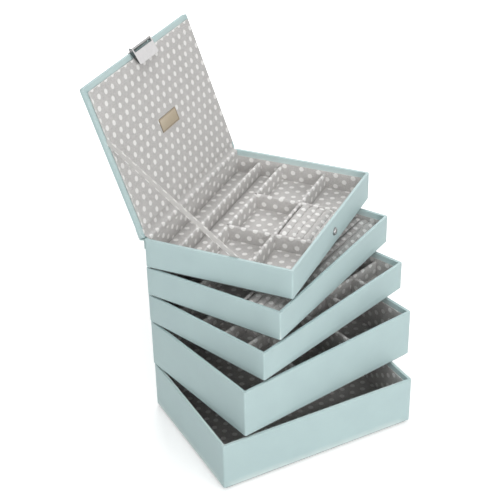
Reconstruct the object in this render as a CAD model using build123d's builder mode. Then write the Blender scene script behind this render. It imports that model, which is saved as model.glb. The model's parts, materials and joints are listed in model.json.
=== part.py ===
"""A tiered jewellery box of five lined trays, fanned about one corner, with a clasped lid."""
import os
from math import cos, radians, sin, tan

from build123d import *

os.makedirs("parts", exist_ok=True)

# Footprint and heights of the trays, without their feet
tray_width = 250.0
tray_depth = 180.0
deep_height = 59.5
shallow_height = 35.5
corner_radius = 2.0

# Each tray is turned about a point near its back left corner, from the tray below
pivot_from_side = 12.0
pivot_from_back = 14.5
deep_tray_turn_angle = 9.8
grid_tray_turn_angle = 9.6
ring_tray_turn_angle = 9.5
top_tray_turn_angle = 9.0
stack_clearance = 0.1

# Layers of a tray: leatherette, board, fabric lining, padded floor and felt foot
skin = 0.8
wall_board = 1.8
floor_board = 3.0
lining = 1.4
floor_pad = 2.0
turn_down = 7.5
turn_under = 12.0
foot_thickness = 3.2
foot_inset = 2.6

# Dividers stand on the floor pad and stop short of the rim
divider_thickness = 4.0
divider_drop = 11.1
divider_round = 1.8
slot_clearance = 0.1
top_back_trough = 28.1
top_middle_trough = 25.9
top_front_row = 51.8
front_row = 52.7
top_columns = 3
deep_columns = 3
grid_columns = 5
grid_rows = 5

# Ring rolls: foam rolls beside a slit behind them
roll_count = 5
roll_drop = 10.0
roll_flat = 1.7
roll_end_round = 1.5
roll_gap = 0.3
slit_width = 2.4

# Lid, open at the angle that its ribbon allows
lid_depth = 183.0
lid_thickness = 5.0
lid_open_angle = 109.8
lid_gap = 0.3
open_overhang = 1.0
closed_overhang = 2.5
lid_turn_in = 14.0
panel_side_border = 4.2
panel_off_middle = 0.1
panel_front_border = 6.0
panel_back_border = 10.5
panel_thickness = 3.0
panel_round = 1.2

# Leatherette spine outside the hinge and lining strip inside it
strip_side_inset = 0.5
spine_reach = 13.0
spine_drop = 13.0
spine_slack = 1.3
strip_clearance = 0.1
hinge_lining = 0.5
hinge_lining_inset = 4.6

# Ribbon that stops the lid
ribbon_width = 7.0
ribbon_thickness = 0.6
ribbon_on_lid = 119.8
ribbon_on_wall = 109.9

# The plate, the clasp and its catch sit a little to the right of the middle
off_middle = 3.0

# Bare plate on the lid lining
plate_width = 41.5
plate_height = 16.8
plate_thickness = 0.7
plate_corner = 1.0

# Clasp: an edge bracket with a barrel, a pin, and a wedge-shaped flap that swings on it
clasp_width = 45.0
clasp_axis_out = 4.7
clasp_axis_in = 3.1
barrel_radius = 1.8
pin_radius = 1.0
pin_clearance = 0.05
clasp_metal = 1.0
arm_width = 2.2
arm_clearance = 0.3
arm_length = 5.4
flap_length = 20.0
flap_corner = 2.5
cheek_start = 3.4
cheek_drop = 3.4
cheek_end_drop = 0.5
flap_tilt_angle = 11.0
bracket_height = 3.8
bracket_inset = 0.6
rivet_from_face = 3.0
rivet_spacing = 20.0
rivet_radius = 0.7
rivet_head_radius = 1.3
rivet_head = 0.5
rivet_depth = 5.0
magnet_radius = 3.4
magnet_pocket = 0.6
magnet_stand_off = 0.9

# Catch stud on the front wall, under the flap
stud_below_rim = 18.5
stud_radius = 4.25
stud_height = 1.9
stud_round = 1.2
stud_shank_radius = 1.0
stud_shank_depth = 2.2
washer_radius = 5.0
washer_thickness = 0.5

# One overrun serves every cut
overrun = 1.0

# Places that several pieces share
rim_width = skin + wall_board + skin
lining_face = skin + wall_board + lining
floor_top = skin + floor_board + floor_pad
inner_width = tray_width - 2 * lining_face
inner_depth = tray_depth - 2 * lining_face
magnet_from_axis = stud_below_rim + lid_gap - clasp_axis_in


def stacked(below, height_below, turn_angle):
    """The frame of a tray that stands on another one and is turned about the corner point."""
    pivot = (pivot_from_side - tray_width / 2, tray_depth / 2 - pivot_from_back)
    rise = height_below + foot_thickness + stack_clearance
    placed = below.location * Pos(*pivot, rise) * Rot(0, 0, turn_angle) * Pos(-pivot[0], -pivot[1], 0)
    return Plane(placed)


def across(plane, x):
    """The frame at right angles to a plane's x axis: its x and y are the plane's y and z."""
    origin = plane.from_local_coords(Vector(x, 0, 0))
    return Plane(origin=origin, x_dir=plane.y_dir, z_dir=plane.x_dir)


def towards(direction):
    """An axis for sorting faces and edges along a direction."""
    return Axis((0, 0, 0), direction)


base_plane = Plane.XY.offset(foot_thickness)
deep_plane = stacked(base_plane, deep_height, deep_tray_turn_angle)
grid_plane = stacked(deep_plane, deep_height, grid_tray_turn_angle)
ring_plane = stacked(grid_plane, shallow_height, ring_tray_turn_angle)
top_plane = stacked(ring_plane, shallow_height, top_tray_turn_angle)


def lid_line(along, inward):
    """A point of the open lid, as distance behind the back wall and height above the rim."""
    angle = radians(lid_open_angle)
    behind = open_overhang - along * cos(angle) - inward * sin(angle)
    above = lid_gap + along * sin(angle) - inward * cos(angle)
    return behind, above


def lid_frame():
    """The open lid's inner face: x runs along the hinge and y from the hinge to the front edge."""
    angle = radians(lid_open_angle)
    origin = Vector(0, tray_depth / 2 + open_overhang, shallow_height + lid_gap)
    world_origin = top_plane.from_local_coords(origin)
    normal = top_plane.y_dir * -sin(angle) + top_plane.z_dir * -cos(angle)
    return Plane(origin=world_origin, x_dir=top_plane.x_dir, z_dir=normal)


def flap_frame():
    """The clasp flap at its pin: y runs down the flap and z out of its outer face."""
    angle = radians(flap_tilt_angle)
    local = Vector(off_middle, lid_depth + clasp_axis_out, clasp_axis_in)
    origin = lid_plane.from_local_coords(local)
    outward = lid_plane.y_dir * sin(angle) + lid_plane.z_dir * cos(angle)
    return Plane(origin=origin, x_dir=lid_plane.x_dir * -1, z_dir=outward)


lid_plane = lid_frame()
flap_plane = flap_frame()


def hinge_axis():
    """The lid's turning point, which carries it from its open place to its closed one."""
    half_turn = radians(lid_open_angle) / 2
    shift = closed_overhang - open_overhang
    behind = (closed_overhang + open_overhang) / 2
    above = lid_gap + shift / 2 / tan(half_turn)
    local = Vector(0, tray_depth / 2 + behind, shallow_height + above)
    return top_plane.from_local_coords(local)


def save(part, label):
    """Name one finished piece and write it."""
    part.label = label
    export_step(part, f"parts/{label}.step")
    return part


def rounded(inset, radius):
    """A rounded rectangle inside the tray's outline, at a distance from its outer faces."""
    RectangleRounded(tray_width - 2 * inset, tray_depth - 2 * inset, radius)


def square(inset, mode=Mode.ADD):
    """A square-cornered rectangle inside the tray's outline."""
    Rectangle(tray_width - 2 * inset, tray_depth - 2 * inset, mode=mode)


def ring(plane, low, high, outer, inner):
    """A band between two insets, from one height to another."""
    with BuildSketch(plane.offset(low)) as band:
        square(outer)
        square(inner, Mode.SUBTRACT)
    extrude(band.sketch, amount=high - low)


def catch_hole(height):
    """The hole of the catch stud, into the front wall."""
    with BuildSketch(front_frame(height).offset(overrun)) as hole:
        Circle(stud_shank_radius + pin_clearance)
    depth = stud_shank_depth + slot_clearance + overrun
    extrude(hole.sketch, amount=-depth, mode=Mode.SUBTRACT)


def front_frame(height):
    """The frame of the catch stud on the top tray's front wall, looking out of the wall."""
    local = Vector(off_middle, -tray_depth / 2, height - stud_below_rim)
    origin = top_plane.from_local_coords(local)
    return Plane(origin=origin, x_dir=top_plane.x_dir, z_dir=top_plane.y_dir * -1)


def tray_board(name, plane, height, has_catch=False):
    """Grey board walls and floor, glued into one open box."""
    with BuildPart() as board:
        with BuildSketch(plane.offset(skin)):
            rounded(skin, corner_radius - skin)
        extrude(amount=height - 2 * skin)
        with BuildSketch(plane.offset(skin + floor_board)):
            square(skin + wall_board)
        extrude(amount=height, mode=Mode.SUBTRACT)
        if has_catch:
            catch_hole(height)
    save(board.part, f"{name}_board")


def tray_wrap(name, plane, height, has_catch=False):
    """Leatherette over the walls, over the rim and down inside, and under the floor's edge."""
    with BuildPart() as wrap:
        with BuildSketch(plane):
            rounded(0, corner_radius)
        extrude(amount=height)
        with BuildSketch(plane.offset(skin)):
            rounded(skin, corner_radius - skin)
        extrude(amount=height - 2 * skin, mode=Mode.SUBTRACT)
        with BuildSketch(plane.offset(-overrun)):
            square(turn_under)
        extrude(amount=2 * overrun, mode=Mode.SUBTRACT)
        with BuildSketch(plane.offset(height - skin - overrun)):
            square(rim_width)
        extrude(amount=skin + 2 * overrun, mode=Mode.SUBTRACT)
        ring(plane, height - turn_down, height - skin, skin + wall_board, rim_width)
        if has_catch:
            catch_hole(height)
    save(wrap.part, f"{name}_wrap")


def tray_lining(name, plane, height):
    """Fabric on card round the inside of the walls, up to the turned-down leatherette."""
    with BuildPart() as wall_lining:
        ring(plane, skin + floor_board, height - turn_down, skin + wall_board, lining_face)
    save(wall_lining.part, f"{name}_lining")


def tray_floor(name, plane):
    """The padded floor inside the lining."""
    with BuildPart() as pad:
        with BuildSketch(plane.offset(skin + floor_board)):
            square(lining_face)
        extrude(amount=floor_pad)
    save(pad.part, f"{name}_floor_pad")


def tray_foot(name, plane):
    """The felt-covered foot board, let in between the turned-under leatherette."""
    with BuildPart() as foot:
        with BuildSketch(plane.offset(-foot_thickness)):
            rounded(foot_inset, corner_radius)
        extrude(amount=foot_thickness)
        with BuildSketch(plane):
            square(turn_under)
        extrude(amount=skin)
    save(foot.part, f"{name}_foot")


def tray(name, plane, height, has_catch=False):
    """The five layers that every tray has."""
    tray_board(name, plane, height, has_catch)
    tray_wrap(name, plane, height, has_catch)
    tray_lining(name, plane, height)
    tray_floor(name, plane)
    tray_foot(name, plane)


def divider(name, plane, height, centre, size, slots=(), slot_from_top=True):
    """One padded divider, round along its top, with half-lap slots where others cross it."""
    tall = height - divider_drop - floor_top
    lap = tall / 2 + slot_clearance
    low = floor_top + tall - lap if slot_from_top else floor_top - overrun
    with BuildPart() as wall:
        with BuildSketch(plane.offset(floor_top)):
            with Locations(centre):
                Rectangle(*size)
        extrude(amount=tall)
        long_top_edges = wall.edges().group_by(Axis.Z)[-1].sort_by(SortBy.LENGTH)[-2:]
        fillet(long_top_edges, radius=divider_round)
        if slots:
            with BuildSketch(plane.offset(low)):
                with Locations(*slots):
                    slot_size = divider_thickness + 2 * slot_clearance
                    Rectangle(slot_size, slot_size)
            extrude(amount=lap + overrun, mode=Mode.SUBTRACT)
    save(wall.part, name)


def long_divider(name, plane, height, y, crossings=()):
    """A divider along the tray, slotted from its top."""
    slots = [(x, y) for x in crossings]
    divider(name, plane, height, (0, y), (inner_width, divider_thickness), slots)


def cross_divider(name, plane, height, x, back, crossings=()):
    """A divider from the front lining to the place given, slotted from below."""
    front = -inner_depth / 2
    slots = [(x, y) for y in crossings]
    size = (divider_thickness, back - front)
    divider(name, plane, height, (x, (back + front) / 2), size, slots, slot_from_top=False)


def shared_out(count, length):
    """The middles of the dividers that share a length out into equal compartments."""
    clear = (length - (count - 1) * divider_thickness) / count
    step = clear + divider_thickness
    return [-length / 2 + clear + divider_thickness / 2 + step * i for i in range(count - 1)]


def ring_rolls(name, plane, height, left, right, back):
    """Round-topped foam rolls, side by side from the front lining to the slit behind them."""
    front = -inner_depth / 2
    pitch = (back - slit_width - front) / roll_count
    tall = height - roll_drop - floor_top
    roll_width = pitch - roll_gap
    middles = [(front + pitch * (i + 1 / 2), floor_top) for i in range(roll_count)]
    with BuildPart() as rolls:
        with BuildSketch(across(plane, left + slot_clearance)) as profile:
            with Locations(*middles):
                Rectangle(roll_width, tall, align=(Align.CENTER, Align.MIN))
            top_corners = profile.vertices().group_by(Axis.Y)[-1]
            fillet(top_corners, radius=(roll_width - roll_flat) / 2)
        extrude(amount=right - left - 2 * slot_clearance)
        ends = rolls.faces().filter_by(across(plane, 0)).edges()
        fillet(ends.filter_by(GeomType.CIRCLE), radius=roll_end_round)
    save(rolls.part, name)


# The five trays, from the table up
tray("base_tray", base_plane, deep_height)
tray("deep_tray", deep_plane, deep_height)
tray("grid_tray", grid_plane, shallow_height)
tray("ring_tray", ring_plane, shallow_height)
tray("top_tray", top_plane, shallow_height, has_catch=True)

# The deep tray's two dividers make three sections
for side, x in zip(("left", "right"), shared_out(deep_columns, inner_width)):
    cross_divider(f"deep_tray_{side}_divider", deep_plane, deep_height, x, inner_depth / 2)

# The grid tray's dividers lap into each other
grid_xs = shared_out(grid_columns, inner_width)
grid_ys = shared_out(grid_rows, inner_depth)
for number, y in enumerate(grid_ys, start=1):
    name = f"grid_tray_long_divider_{number}"
    long_divider(name, grid_plane, shallow_height, y, grid_xs)
for number, x in enumerate(grid_xs, start=1):
    name = f"grid_tray_cross_divider_{number}"
    cross_divider(name, grid_plane, shallow_height, x, inner_depth / 2, grid_ys)

# The ring tray has two troughs behind a full row of ring rolls
front_divider_y = front_row + divider_thickness / 2 - inner_depth / 2
front_divider_back = front_divider_y + divider_thickness / 2
ring_trough_y = (front_divider_back + inner_depth / 2) / 2
long_divider("ring_tray_back_divider", ring_plane, shallow_height, ring_trough_y)
long_divider("ring_tray_front_divider", ring_plane, shallow_height, front_divider_y)
ring_rolls("ring_tray_rolls", ring_plane, shallow_height, -inner_width / 2, inner_width / 2,
           front_divider_y - divider_thickness / 2)

# The top tray has two troughs, three cells, and two cells beside a short set of ring rolls
top_back_y = inner_depth / 2 - top_back_trough - divider_thickness / 2
top_middle_y = top_back_y - top_middle_trough - divider_thickness
top_cell_back = top_middle_y - divider_thickness / 2
top_front_y = top_front_row + divider_thickness / 2 - inner_depth / 2
top_xs = shared_out(top_columns, inner_width)
long_divider("top_tray_back_divider", top_plane, shallow_height, top_back_y)
long_divider("top_tray_middle_divider", top_plane, shallow_height, top_middle_y)
long_divider("top_tray_front_divider", top_plane, shallow_height, top_front_y, top_xs)
for side, x in zip(("left", "right"), top_xs):
    name = f"top_tray_{side}_divider"
    cross_divider(name, top_plane, shallow_height, x, top_cell_back, [top_front_y])
ring_rolls("top_tray_rolls", top_plane, shallow_height, top_xs[0] + divider_thickness / 2,
           top_xs[-1] - divider_thickness / 2, top_front_y - divider_thickness / 2)


def lid_rectangle(side, front, back, radius=0.0, mode=Mode.ADD, shift=0.0):
    """A rectangle on the lid, at distances from its side, front and back edges."""
    width = tray_width - 2 * side
    length = lid_depth - front - back
    with Locations((shift, back + length / 2)):
        if radius > 0:
            RectangleRounded(width, length, radius, mode=mode)
        else:
            Rectangle(width, length, mode=mode)


def rivet_places():
    """The two rivets on the lid's front edge, side by side."""
    return [(-rivet_spacing / 2, 0), (rivet_spacing / 2, 0)]


def edge_frame(out=0.0):
    """The lid's front edge, looking out of it, with its origin at the height of the rivets."""
    local = Vector(off_middle, lid_depth + out, -rivet_from_face)
    origin = lid_plane.from_local_coords(local)
    return Plane(origin=origin, x_dir=lid_plane.x_dir, z_dir=lid_plane.y_dir)


def rivet_holes():
    """The holes of the two clasp rivets, into the lid's front edge."""
    with BuildSketch(edge_frame(clasp_metal + overrun)) as holes:
        with Locations(*rivet_places()):
            Circle(rivet_radius + pin_clearance)
    depth = rivet_depth + slot_clearance + clasp_metal + overrun
    extrude(holes.sketch, amount=-depth, mode=Mode.SUBTRACT)


with BuildPart() as lid_board:
    with BuildSketch(lid_plane.offset(skin - lid_thickness)):
        lid_rectangle(skin, skin, skin, corner_radius - skin)
    extrude(amount=lid_thickness - 2 * skin)
    rivet_holes()
save(lid_board.part, "lid_board")

with BuildPart() as lid_wrap:
    with BuildSketch(lid_plane.offset(-lid_thickness)):
        lid_rectangle(0, 0, 0, corner_radius)
    extrude(amount=lid_thickness)
    with BuildSketch(lid_plane.offset(skin - lid_thickness)):
        lid_rectangle(skin, skin, skin, corner_radius - skin)
    extrude(amount=lid_thickness - 2 * skin, mode=Mode.SUBTRACT)
    with BuildSketch(lid_plane.offset(-skin - overrun / 2)):
        lid_rectangle(lid_turn_in, lid_turn_in, lid_turn_in)
    extrude(amount=skin + overrun, mode=Mode.SUBTRACT)
    rivet_holes()
save(lid_wrap.part, "lid_wrap")

with BuildPart() as lid_lining_panel:
    with BuildSketch(lid_plane):
        lid_rectangle(panel_side_border, panel_front_border, panel_back_border, corner_radius,
                      shift=panel_off_middle)
    extrude(amount=panel_thickness)
    fillet(lid_lining_panel.faces().sort_by(towards(lid_plane.z_dir))[-1].edges(), radius=panel_round)
    with BuildSketch(lid_plane.offset(-skin)):
        lid_rectangle(lid_turn_in, lid_turn_in, lid_turn_in)
    extrude(amount=skin)
save(lid_lining_panel.part, "lid_lining_panel")

with BuildPart() as lid_plate:
    with BuildSketch(lid_plane.offset(panel_thickness)):
        with Locations((off_middle, lid_depth / 2)):
            RectangleRounded(plate_width, plate_height, plate_corner)
    extrude(amount=plate_thickness)
save(lid_plate.part, "lid_blank_plate")


def strip(name, inset, thickness, points):
    """A flexible strip along the hinge, from its section behind the back wall and above the rim."""
    half = tray_width / 2 - inset
    section = across(top_plane, -half)
    path = [(tray_depth / 2 + behind, shallow_height + above) for behind, above in points]
    with BuildPart() as band:
        with BuildSketch(section):
            with BuildLine():
                Polyline(*path)
            trace(line_width=thickness)
        extrude(amount=2 * half)
    save(band.part, name)


# The spine runs up the back wall, under the lid's edge and up its outer face
spine_off = skin / 2 + strip_clearance
strip("lid_spine", strip_side_inset, skin, [
    (spine_off, -spine_drop),
    (spine_off, -spine_slack),
    lid_line(-spine_slack, -lid_thickness),
    lid_line(0, -lid_thickness - skin),
    lid_line(spine_reach, -lid_thickness - spine_off),
])

# The lining strip runs up inside the wall, over the rim and up to the lid's padded panel
lining_off = hinge_lining / 2 + strip_clearance
strip("lid_hinge_lining", hinge_lining_inset, hinge_lining, [
    (-rim_width - lining_off, strip_clearance - turn_down),
    (-rim_width - lining_off, lining_off),
    lid_line(hinge_lining + lining_off, lining_off),
    lid_line(panel_back_border - strip_clearance, lining_off),
])


def ribbon_outline():
    """The ribbon's corners, as distances behind the back wall and above the rim."""
    lid_end = lid_line(ribbon_on_lid, strip_clearance)
    fall = lid_end[1]
    run = lid_end[0] + ribbon_on_wall
    length = (fall ** 2 + run ** 2) ** (1 / 2)
    level_half = ribbon_width / 2 * length / fall
    down = turn_down - strip_clearance
    low_middle = -ribbon_on_wall - down * run / fall
    angle = radians(lid_open_angle)
    slant = (-run * sin(angle) - fall * cos(angle)) / length
    lid_half = abs(ribbon_width / 2 / slant)
    return [
        lid_line(ribbon_on_lid - lid_half, strip_clearance),
        lid_line(ribbon_on_lid + lid_half, strip_clearance),
        (low_middle - level_half, -down),
        (low_middle + level_half, -down),
    ]


with BuildPart() as lid_ribbon:
    ribbon_x = rim_width + strip_clearance - tray_width / 2
    with BuildSketch(across(top_plane, ribbon_x)):
        with BuildLine():
            corners = [(tray_depth / 2 + g, shallow_height + z) for g, z in ribbon_outline()]
            Polyline(*corners, close=True)
        make_face()
    extrude(amount=ribbon_thickness)
save(lid_ribbon.part, "lid_ribbon")

barrel_length = clasp_width - 2 * arm_width - 2 * arm_clearance
barrel_centre = (lid_depth + clasp_axis_out, clasp_axis_in)

with BuildPart() as clasp_bracket:
    with BuildSketch(across(lid_plane, off_middle - barrel_length / 2)):
        with BuildLine():
            Polyline(
                (lid_depth + clasp_metal / 2, -bracket_inset - bracket_height),
                (lid_depth + clasp_metal / 2, -bracket_inset),
                barrel_centre,
            )
        trace(line_width=clasp_metal)
        with Locations(barrel_centre):
            Circle(barrel_radius)
            Circle(pin_radius + pin_clearance, mode=Mode.SUBTRACT)
    extrude(amount=barrel_length)
    rivet_holes()
save(clasp_bracket.part, "clasp_bracket")

with BuildPart() as clasp_pin:
    with BuildSketch(across(lid_plane, off_middle - clasp_width / 2)):
        with Locations(barrel_centre):
            Circle(pin_radius)
    extrude(amount=clasp_width)
save(clasp_pin.part, "clasp_pin")

with BuildPart() as clasp_rivets:
    with BuildSketch(edge_frame(clasp_metal)):
        with Locations(*rivet_places()):
            Circle(rivet_head_radius)
    extrude(amount=rivet_head)
    with BuildSketch(edge_frame(clasp_metal)):
        with Locations(*rivet_places()):
            Circle(rivet_radius)
    extrude(amount=-rivet_depth - clasp_metal)
save(clasp_rivets.part, "clasp_rivets")

plate_back = pin_radius + pin_clearance + strip_clearance
plate_front = plate_back + clasp_metal


def across_flap(x):
    """The flap's side view at a place along the pin: its x runs down the flap, its y outwards."""
    return across(flap_plane, x)


with BuildPart() as clasp_flap:
    with BuildSketch(flap_plane.offset(plate_back)):
        with Locations((0, arm_length)):
            Rectangle(clasp_width, flap_length - arm_length, align=(Align.CENTER, Align.MIN))
    extrude(amount=clasp_metal)
    corners = clasp_flap.edges().filter_by(towards(flap_plane.z_dir))
    fillet(corners.sort_by(towards(flap_plane.y_dir))[-2:], radius=flap_corner)
    for arm_start in (-clasp_width / 2, clasp_width / 2 - arm_width):
        with BuildSketch(across_flap(arm_start)):
            with Locations((0, plate_back)):
                Rectangle(arm_length, clasp_metal, align=(Align.MIN, Align.MIN))
            Circle(plate_front)
            Circle(pin_radius + pin_clearance, mode=Mode.SUBTRACT)
        extrude(amount=arm_width)
    for cheek_side in (-clasp_width / 2, clasp_width / 2 - clasp_metal):
        with BuildSketch(across_flap(cheek_side)):
            with BuildLine():
                Polyline(
                    (0, plate_front),
                    (flap_length - flap_corner, plate_front),
                    (flap_length - flap_corner, plate_back - cheek_end_drop),
                    (cheek_start, -cheek_drop),
                    (0, -plate_front),
                    close=True,
                )
            make_face()
            Circle(pin_radius + pin_clearance, mode=Mode.SUBTRACT)
        extrude(amount=clasp_metal)
    with BuildSketch(flap_plane.offset(plate_back)):
        with Locations((0, magnet_from_axis)):
            Circle(magnet_radius + pin_clearance)
    extrude(amount=magnet_pocket, mode=Mode.SUBTRACT)
save(clasp_flap.part, "clasp_flap")

with BuildPart() as clasp_magnet:
    with BuildSketch(flap_plane.offset(plate_back - magnet_stand_off)):
        with Locations((0, magnet_from_axis)):
            Circle(magnet_radius)
    extrude(amount=magnet_stand_off + magnet_pocket)
save(clasp_magnet.part, "clasp_magnet")

with BuildPart() as catch_washer:
    with BuildSketch(front_frame(shallow_height)):
        Circle(washer_radius)
        Circle(stud_shank_radius + pin_clearance, mode=Mode.SUBTRACT)
    extrude(amount=washer_thickness)
save(catch_washer.part, "catch_washer")

with BuildPart() as catch_stud:
    with BuildSketch(front_frame(shallow_height).offset(washer_thickness)):
        Circle(stud_radius)
    extrude(amount=stud_height)
    fillet(catch_stud.faces().sort_by(towards(top_plane.y_dir * -1))[-1].edges(), radius=stud_round)
    with BuildSketch(front_frame(shallow_height).offset(washer_thickness)):
        Circle(stud_shank_radius)
    extrude(amount=-stud_shank_depth - washer_thickness)
save(catch_stud.part, "catch_stud")
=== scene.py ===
# %% [markdown]
# # A fanned jewelry box
# Five fabric-lined trays stand on each other, each turned a little further about one corner, and the top
# one has an open lid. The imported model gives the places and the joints. This lesson dresses it: first the
# frame and the places of the trays, then the finishes, then each piece, and last the studio.

# %% Load the model
import json
from math import atan2, cos, degrees, pi, radians, sin, sqrt

import bpy
from mathutils import Matrix, Vector, noise


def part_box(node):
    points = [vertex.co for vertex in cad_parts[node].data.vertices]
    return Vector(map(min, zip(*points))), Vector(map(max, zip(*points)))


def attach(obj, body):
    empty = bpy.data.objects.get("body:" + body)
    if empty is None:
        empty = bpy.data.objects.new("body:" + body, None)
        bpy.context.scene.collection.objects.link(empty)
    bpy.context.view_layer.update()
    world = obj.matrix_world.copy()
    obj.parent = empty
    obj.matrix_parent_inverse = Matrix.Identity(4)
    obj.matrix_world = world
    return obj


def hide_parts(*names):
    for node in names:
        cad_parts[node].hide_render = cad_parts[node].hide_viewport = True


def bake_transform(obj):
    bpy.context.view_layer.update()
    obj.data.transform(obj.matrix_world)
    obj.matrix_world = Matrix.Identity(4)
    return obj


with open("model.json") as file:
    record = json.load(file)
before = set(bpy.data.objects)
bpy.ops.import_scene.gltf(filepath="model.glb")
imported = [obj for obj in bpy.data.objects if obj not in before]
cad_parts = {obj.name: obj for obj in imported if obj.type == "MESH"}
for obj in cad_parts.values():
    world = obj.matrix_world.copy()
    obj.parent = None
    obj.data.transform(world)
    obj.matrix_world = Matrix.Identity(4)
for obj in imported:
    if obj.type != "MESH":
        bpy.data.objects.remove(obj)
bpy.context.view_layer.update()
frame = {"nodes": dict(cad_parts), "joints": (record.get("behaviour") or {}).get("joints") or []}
nodes = frame["nodes"]
joints = {joint["name"]: joint for joint in frame["joints"]}
MM = 0.001
# Places or levels that differ by less than these count as the same
EXACT, SAME, ABOUT = 1e-7, 1e-6, 1e-5

# %% [markdown]
# ## Where everything stands
# A lined tray is easiest to model straight, with its middle at the world's origin and its underside at zero,
# and then to turn into place. Each tray's turning joint says how far it is turned from the tray below: its
# lower limit is the turn that would line the two up. So the places come from the joints, with no number
# typed twice.

# %% Sizes of the trays
TRAY_WIDTH, TRAY_DEPTH = 250 * MM, 180 * MM
DEEP_HEIGHT, SHALLOW_HEIGHT = 59.5 * MM, 35.5 * MM
CORNER = 2 * MM
SKIN, WALL_BOARD, FLOOR_BOARD = 0.8 * MM, 1.8 * MM, 3 * MM
LINING, FLOOR_PAD = 1.4 * MM, 2 * MM
TURN_DOWN, TURN_UNDER = 7.5 * MM, 12 * MM
FOOT, FOOT_INSET = 3.2 * MM, 2.6 * MM
RIM = SKIN + WALL_BOARD + SKIN
LINING_FACE = SKIN + WALL_BOARD + LINING
FLOOR_TOP = SKIN + FLOOR_BOARD + FLOOR_PAD
INNER_WIDTH = TRAY_WIDTH - 2 * LINING_FACE
INNER_DEPTH = TRAY_DEPTH - 2 * LINING_FACE
TRAYS = {
    "base_tray": DEEP_HEIGHT,
    "deep_tray": DEEP_HEIGHT,
    "grid_tray": SHALLOW_HEIGHT,
    "ring_tray": SHALLOW_HEIGHT,
    "top_tray": SHALLOW_HEIGHT,
}
print("inside of a tray", round(INNER_WIDTH / MM, 1), "by", round(INNER_DEPTH / MM, 1), "mm")

# %% Where each tray stands
places = {}
turned = 0.0
for tray in TRAYS:
    joint = joints.get(f"{tray}_turn")
    lift = Matrix.Translation((0, 0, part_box(f"{tray}_foot")[0].z + FOOT))
    if joint is None:
        places[tray] = lift
        continue
    turned -= radians(joint["range_deg"][0])
    pivot = Vector((joint["pos_m"][0], joint["pos_m"][1], 0))
    about = Matrix.Translation(pivot) @ Matrix.Rotation(turned, 4, "Z") @ Matrix.Translation(-pivot)
    places[tray] = lift @ about
    print(tray, "is turned", round(degrees(turned), 2), "degrees")

# %% Where the open lid and its clasp stand
LID_DEPTH, LID_THICK = 183 * MM, 5 * MM
LID_GAP, LID_OVERHANG = 0.3 * MM, 1 * MM
CLASP_OUT, CLASP_IN = 4.7 * MM, 3.1 * MM
FLAP_TILT = radians(11)
OFF_MIDDLE = 3 * MM
lid_open = radians(-joints["lid_hinge"]["range_deg"][0])
places["lid"] = (
    places["top_tray"]
    @ Matrix.Translation((0, TRAY_DEPTH / 2 + LID_OVERHANG, SHALLOW_HEIGHT + LID_GAP))
    @ Matrix.Rotation(pi - lid_open, 4, "X")
)
flap_turn = Matrix((
    (-1, 0, 0, 0),
    (0, -cos(FLAP_TILT), sin(FLAP_TILT), 0),
    (0, sin(FLAP_TILT), cos(FLAP_TILT), 0),
    (0, 0, 0, 1),
))
places["clasp"] = (
    places["lid"] @ Matrix.Translation((OFF_MIDDLE, LID_DEPTH + CLASP_OUT, CLASP_IN)) @ flap_turn
)
pin = Vector(joints["clasp_swing"]["pos_m"])
print("clasp pin is off its joint by", round((places["clasp"].translation - pin).length * 1e6), "microns")

# %% [markdown]
# ## Small tools for modelling
# Every piece starts as a primitive of its own size and is shaped in edit mode, as by hand. These few helpers
# add the primitive, choose faces and edges by where they are, and cut a piece into even strips, so that each
# piece below reads as its own short list of steps. Two more lay printed cloth on a piece and put it in place.


# %% Adding a primitive
def alone(piece):
    """Select one piece and nothing else."""
    bpy.ops.object.select_all(action="DESELECT")
    piece.select_set(True)
    bpy.context.view_layer.objects.active = piece


def start_with(primitive, name, **settings):
    """Add a primitive with nothing else selected, and name it."""
    bpy.ops.object.select_all(action="DESELECT")
    primitive(**settings)
    piece = bpy.context.active_object
    piece.name = name
    return piece


def block(name, low, high):
    """A box between two corners, with its place in its mesh."""
    low, high = Vector(low), Vector(high)
    piece = start_with(bpy.ops.mesh.primitive_cube_add, name, size=1,
                       location=(low + high) / 2, scale=high - low)
    bpy.ops.object.transform_apply(location=True, rotation=True, scale=True)
    return piece


# %% Picking faces and edges by their place
def start_edit(piece, kind, wanted):
    """Enter edit mode with the faces or edges that pass a test selected."""
    alone(piece)
    mesh = piece.data
    bpy.context.tool_settings.mesh_select_mode = (False, kind == "EDGE", kind == "FACE")
    for group in (mesh.polygons, mesh.edges, mesh.vertices):
        group.foreach_set("select", [False] * len(group))
    for part in mesh.polygons if kind == "FACE" else mesh.edges:
        if wanted(part):
            part.select = True
            for index in part.vertices:
                mesh.vertices[index].select = True
    bpy.ops.object.mode_set(mode="EDIT")


def end_edit():
    """Leave edit mode."""
    bpy.ops.object.mode_set(mode="OBJECT")


def ends(piece, edge):
    """The two ends of an edge."""
    return [piece.data.vertices[index].co for index in edge.vertices]


def looks_up(face):
    """Whether a face is the top of something."""
    return face.normal.z > 0.9


def looks_down(face):
    """Whether a face is the underside of something."""
    return face.normal.z < -0.9


def round_edges(piece, wanted, radius, segments):
    """Bevel the edges whose two ends pass a test."""
    start_edit(piece, "EDGE", lambda edge: wanted(*ends(piece, edge)))
    bpy.ops.mesh.bevel(offset=radius, segments=segments, affect="EDGES", clamp_overlap=True)
    end_edit()


def remove_faces(piece, wanted):
    """Delete the faces that pass a test."""
    start_edit(piece, "FACE", wanted)
    bpy.ops.mesh.delete(type="FACE")
    end_edit()


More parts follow.
